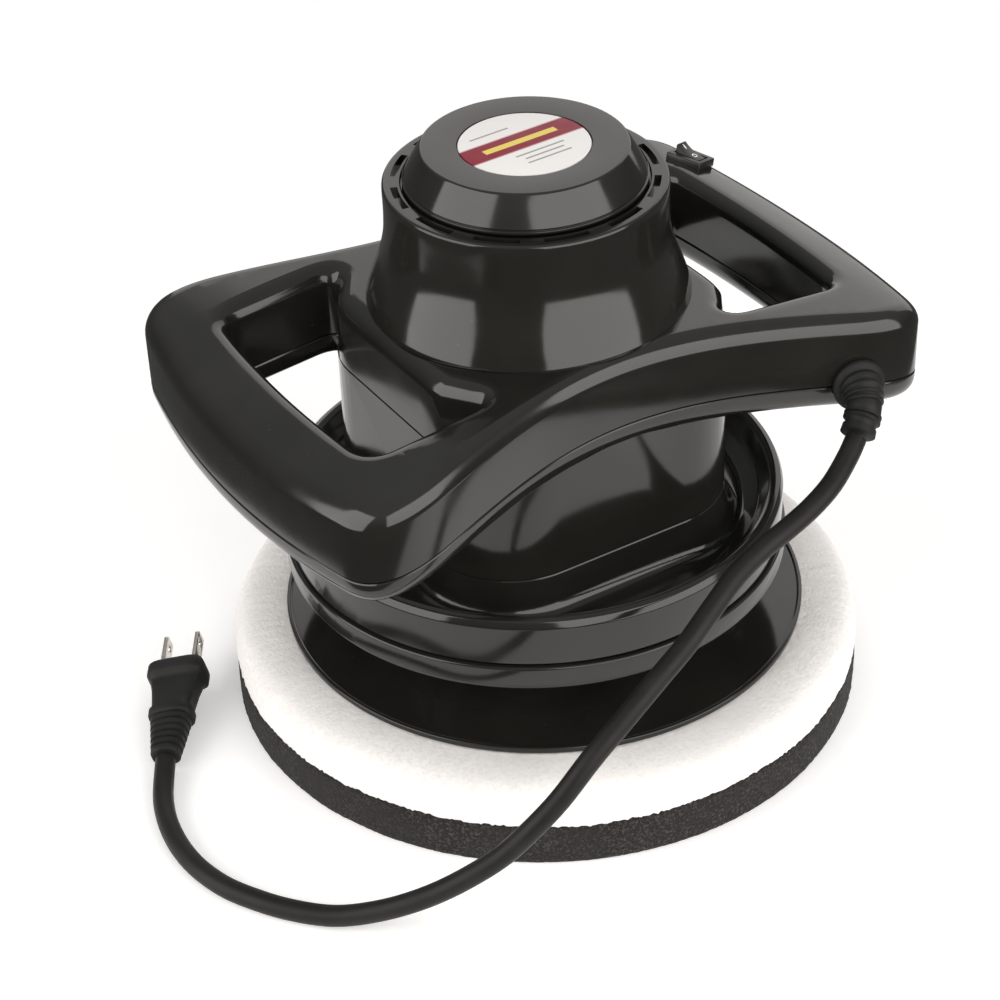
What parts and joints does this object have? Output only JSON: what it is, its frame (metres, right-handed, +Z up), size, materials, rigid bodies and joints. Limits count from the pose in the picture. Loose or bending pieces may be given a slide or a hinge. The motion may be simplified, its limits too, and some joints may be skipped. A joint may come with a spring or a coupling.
{
  "type": "rotary polisher",
  "caption": "Two-handed electric polisher: an arched handle with hand loops over a domed motor, a round random-orbit foam pad below, a rocker switch and a short corded plug.",
  "frame": {"origin": "on the motor axis, at the plane the pad stands on", "axes": "+X from the left handle to the right handle that carries the switch and cord, +Y away from the side the cord leaves, +Z up along the motor shaft"},
  "size_m": [0.297, 0.254, 0.226],
  "materials": {
    "black_gloss": "polished injection-moulded black plastic",
    "black_satin": "satin black plastic",
    "black_rubber": "matt black flexible vinyl",
    "white_foam": "soft white fibrous foam",
    "grey_foam": "fine-pored charcoal foam",
    "steel": "plain machined steel",
    "nickel": "nickel-plated brass",
    "brass": "stamped brass",
    "copper": "enamelled copper",
    "cast_metal": "die-cast, as cast",
    "ferrite": "sintered dark grey ceramic",
    "carbon": "pressed carbon",
    "label_paper": "white film with a red diagonal band",
    "circuit_board": "green laminate",
    "red_lead": "red insulated wire"
  },
  "bodies": {
    "housing": {"base_housing": "black_gloss", "skirt_ring": "black_gloss", "handle_upper": "black_gloss", "handle_lower": "black_gloss", "motor_cover": "black_gloss", "top_cap": "black_gloss", "switch_frame": "black_satin", "cord_clamp": "black_satin", "supply_lead": "black_satin", "cord_relief": "black_rubber", "power_cord": "black_rubber", "plug_body": "black_rubber", "motor_mount_plate": "steel", "motor_screw_1": "steel", "motor_screw_2": "steel", "lower_bearing": "steel", "upper_bearing": "steel", "motor_can": "steel", "brush_spring_left": "steel", "brush_spring_right": "steel", "ring_screw_1": "steel", "ring_screw_2": "steel", "ring_screw_3": "steel", "base_screw_1": "steel", "base_screw_2": "steel", "shell_screw_1": "steel", "shell_screw_2": "steel", "shell_screw_3": "steel", "shell_screw_4": "steel", "lower_end_bracket": "cast_metal", "upper_end_bracket": "cast_metal", "field_magnet_left": "ferrite", "field_magnet_right": "ferrite", "brush_holder_left": "brass", "brush_holder_right": "brass", "switch_terminal_1": "brass", "switch_terminal_2": "brass", "carbon_brush_left": "carbon", "carbon_brush_right": "carbon", "plug_blade_left": "nickel", "plug_blade_right": "nickel", "cap_label": "label_paper", "rectifier_board": "circuit_board", "switched_lead": "red_lead"},
    "rotor": {"motor_shaft": "steel", "armature_core": "steel", "winding_upper": "copper", "winding_lower": "copper", "commutator": "copper", "cooling_fan": "black_satin", "eccentric_hub": "cast_metal", "counterweight": "cast_metal", "counterweight_screw": "steel", "pad_bearing": "steel"},
    "pad": {"finishing_foam": "grey_foam", "backing_foam": "white_foam", "backing_plate": "black_gloss", "spindle_bolt": "steel", "spindle_nut": "steel"},
    "rocker": {"switch_rocker": "black_satin"}
  },
  "joints": [
    {"name": "rotor_spin", "type": "hinge", "parent": "housing", "child": "rotor", "pos_m": [0, 0, 0], "axis": [0, 0, 1], "continuous": true},
    {"name": "pad_spin", "type": "hinge", "parent": "rotor", "child": "pad", "pos_m": [0.00382, 0.00117, 0], "axis": [0, 0, 1], "continuous": true},
    {"name": "switch_rock", "type": "hinge", "parent": "housing", "child": "rocker", "pos_m": [0.11022, 0.055, 0.16325], "axis": [0.9236, 0.342, -0.1729], "range_deg": [-16, 0]}
  ]
}
